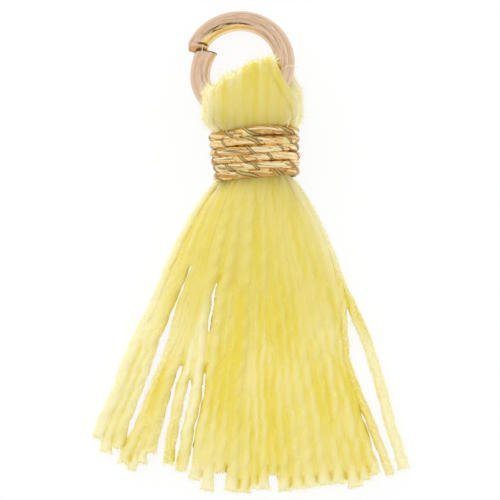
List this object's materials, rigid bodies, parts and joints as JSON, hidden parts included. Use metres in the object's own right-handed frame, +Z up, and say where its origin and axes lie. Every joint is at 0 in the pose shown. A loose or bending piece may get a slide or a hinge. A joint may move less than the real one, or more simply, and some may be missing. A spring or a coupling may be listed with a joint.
{
  "type": "jewelry tassel",
  "caption": "Small jewelry tassel of soft pale yellow yarn, folded over an open gold jump ring and bound at the neck with gold metallic thread.",
  "frame": {"origin": "bottom of the tassel as it lies on its back, centred under its outline", "axes": "+Y along the tassel from the hem to the jump ring, +Z up from the surface that it lies on, +X to the right with the ring at the far end"},
  "size_m": [0.0138, 0.0214, 0.0033],
  "materials": {
    "yarn": "soft matt two-ply yarn, pale lemon yellow, fuzzy",
    "gold_thread": "gold foil wound round a pale core thread",
    "ring_metal": "bright light-gold plating"
  },
  "bodies": {
    "root": {"yarn_hank": "yarn", "binding_thread": "gold_thread", "jump_ring": "ring_metal"}
  },
  "joints": []
}
